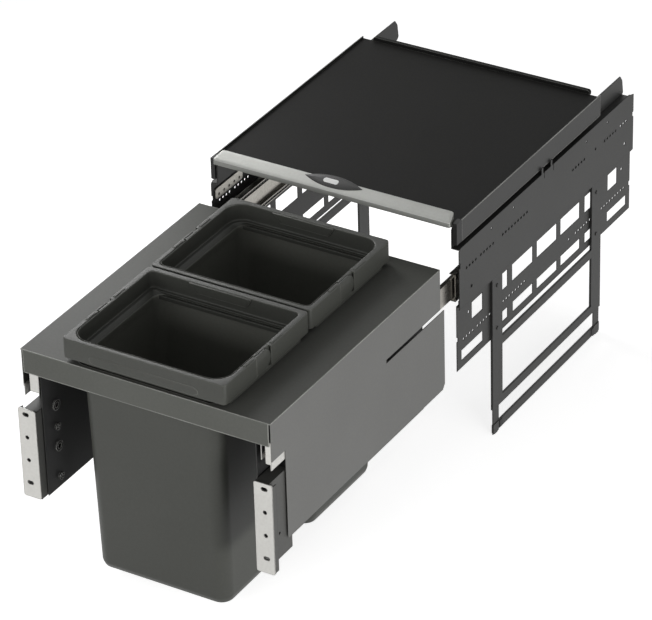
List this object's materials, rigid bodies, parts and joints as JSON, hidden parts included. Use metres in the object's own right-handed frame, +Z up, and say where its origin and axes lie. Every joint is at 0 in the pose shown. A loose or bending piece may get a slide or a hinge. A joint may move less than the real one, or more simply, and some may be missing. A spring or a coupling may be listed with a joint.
{
  "type": "pull out bin frame",
  "caption": "Pull-out waste bin frame for a base cabinet: drawer with hanging bins on full-extension runners, slotted side plates with legs, and a sliding cover shelf.",
  "frame": {"origin": "on the cabinet floor, midway along and across the unit as pulled out, 16 mm behind the side plates' front edges", "axes": "+X to the unit's right seen from behind the door front, +Y into the cabinet, +Z up"},
  "size_m": [0.414, 1.048, 0.424],
  "materials": {
    "powder_black": "fine textured powder coat, satin",
    "panel_grey": "metallic anthracite powder coat, satin",
    "top_grey": "metallic anthracite powder coat, satin",
    "inner_black": "matt powder coat",
    "channel_grey": "satin powder coat",
    "plug_black": "moulded nylon, matt",
    "zinc": "zinc plated, satin",
    "zinc_bright": "zinc plated, pale and satin",
    "ball_steel": "plain steel",
    "bin_plastic": "moulded plastic, satin",
    "cover_matt": "matt laminate",
    "trim_alu": "satin anodised",
    "grip_black": "moulded plastic, satin",
    "inlay_white": "moulded plastic, plain"
  },
  "bodies": {
    "cabinet_frame": {"side_plate_left": "powder_black", "window_plate_left": "powder_black", "leg_frame_left": "powder_black", "cabinet_runner_left": "zinc", "runner_foot_left": "powder_black", "run_in_guide_left": "zinc", "cover_rail_left": "powder_black", "plate_ledge_left": "powder_black", "side_plate_right": "powder_black", "window_plate_right": "powder_black", "leg_frame_right": "powder_black", "cabinet_runner_right": "zinc", "runner_foot_right": "powder_black", "run_in_guide_right": "zinc", "cover_rail_right": "powder_black", "plate_ledge_right": "powder_black", "plate_rivets": "ball_steel"},
    "foot_left": {"foot_frame_left": "powder_black", "foot_plugs_left": "plug_black"},
    "foot_right": {"foot_frame_right": "powder_black", "foot_plugs_right": "plug_black"},
    "middle_left": {"middle_runner_left": "zinc", "ball_strips_left": "ball_steel"},
    "middle_right": {"middle_runner_right": "zinc", "ball_strips_right": "ball_steel"},
    "drawer": {"drawer_runner_left": "zinc", "outer_panel_left": "panel_grey", "inner_panel_left": "inner_black", "runner_tab_left": "zinc_bright", "front_bracket_left": "panel_grey", "bracket_face_left": "zinc_bright", "adjusters_left": "zinc", "bracket_screws_left": "zinc", "drawer_runner_right": "zinc", "outer_panel_right": "panel_grey", "inner_panel_right": "inner_black", "runner_tab_right": "zinc_bright", "front_bracket_right": "panel_grey", "bracket_face_right": "zinc_bright", "adjusters_right": "zinc", "bracket_screws_right": "zinc", "panel_spacers": "zinc", "runner_blocks": "inner_black", "top_plate": "top_grey", "rear_wall": "inner_black"},
    "front_bin": {"bin_front": "bin_plastic"},
    "rear_bin": {"bin_rear": "bin_plastic"},
    "front_bail": {"bail_front": "bin_plastic"},
    "rear_bail": {"bail_rear": "bin_plastic"},
    "cover": {"cover_channel_left": "channel_grey", "cover_channel_right": "channel_grey", "cover_board": "cover_matt", "cover_trim": "trim_alu", "cover_grip": "grip_black", "cover_inlay": "inlay_white", "cover_upstand": "cover_matt", "cover_glides": "plug_black", "cover_caps": "plug_black"}
  },
  "joints": [
    {"name": "drawer_slide", "type": "slide", "parent": "cabinet_frame", "child": "drawer", "axis": [0, 1, 0], "range_m": [0, 0.495]},
    {"name": "middle_runner_left_slide", "type": "slide", "parent": "cabinet_frame", "child": "middle_left", "axis": [0, 1, 0], "range_m": [0, 0.2475]},
    {"name": "middle_runner_right_slide", "type": "slide", "parent": "cabinet_frame", "child": "middle_right", "axis": [0, 1, 0], "range_m": [0, 0.2475]},
    {"name": "cover_slide", "type": "slide", "parent": "cabinet_frame", "child": "cover", "axis": [0, -1, 0], "range_m": [0, 0.3]},
    {"name": "foot_left_height", "type": "slide", "parent": "cabinet_frame", "child": "foot_left", "axis": [0, 0, 1], "range_m": [0, 0.025]},
    {"name": "foot_right_height", "type": "slide", "parent": "cabinet_frame", "child": "foot_right", "axis": [0, 0, 1], "range_m": [0, 0.025]},
    {"name": "front_bin_lift", "type": "slide", "parent": "drawer", "child": "front_bin", "axis": [0, 0, 1], "range_m": [0, 0.4]},
    {"name": "rear_bin_lift", "type": "slide", "parent": "drawer", "child": "rear_bin", "axis": [0, 0, 1], "range_m": [0, 0.4]},
    {"name": "front_bail_hinge", "type": "hinge", "parent": "front_bin", "child": "front_bail", "pos_m": [0, -0.4116, 0.379], "axis": [-1, 0, 0], "range_deg": [0, 90]},
    {"name": "rear_bail_hinge", "type": "hinge", "parent": "rear_bin", "child": "rear_bail", "pos_m": [0, -0.1912, 0.379], "axis": [-1, 0, 0], "range_deg": [0, 90]}
  ],
  "couplings": [
    {"joint": "middle_runner_left_slide", "follows": "drawer_slide", "ratio": 0.5},
    {"joint": "middle_runner_right_slide", "follows": "drawer_slide", "ratio": 0.5}
  ]
}
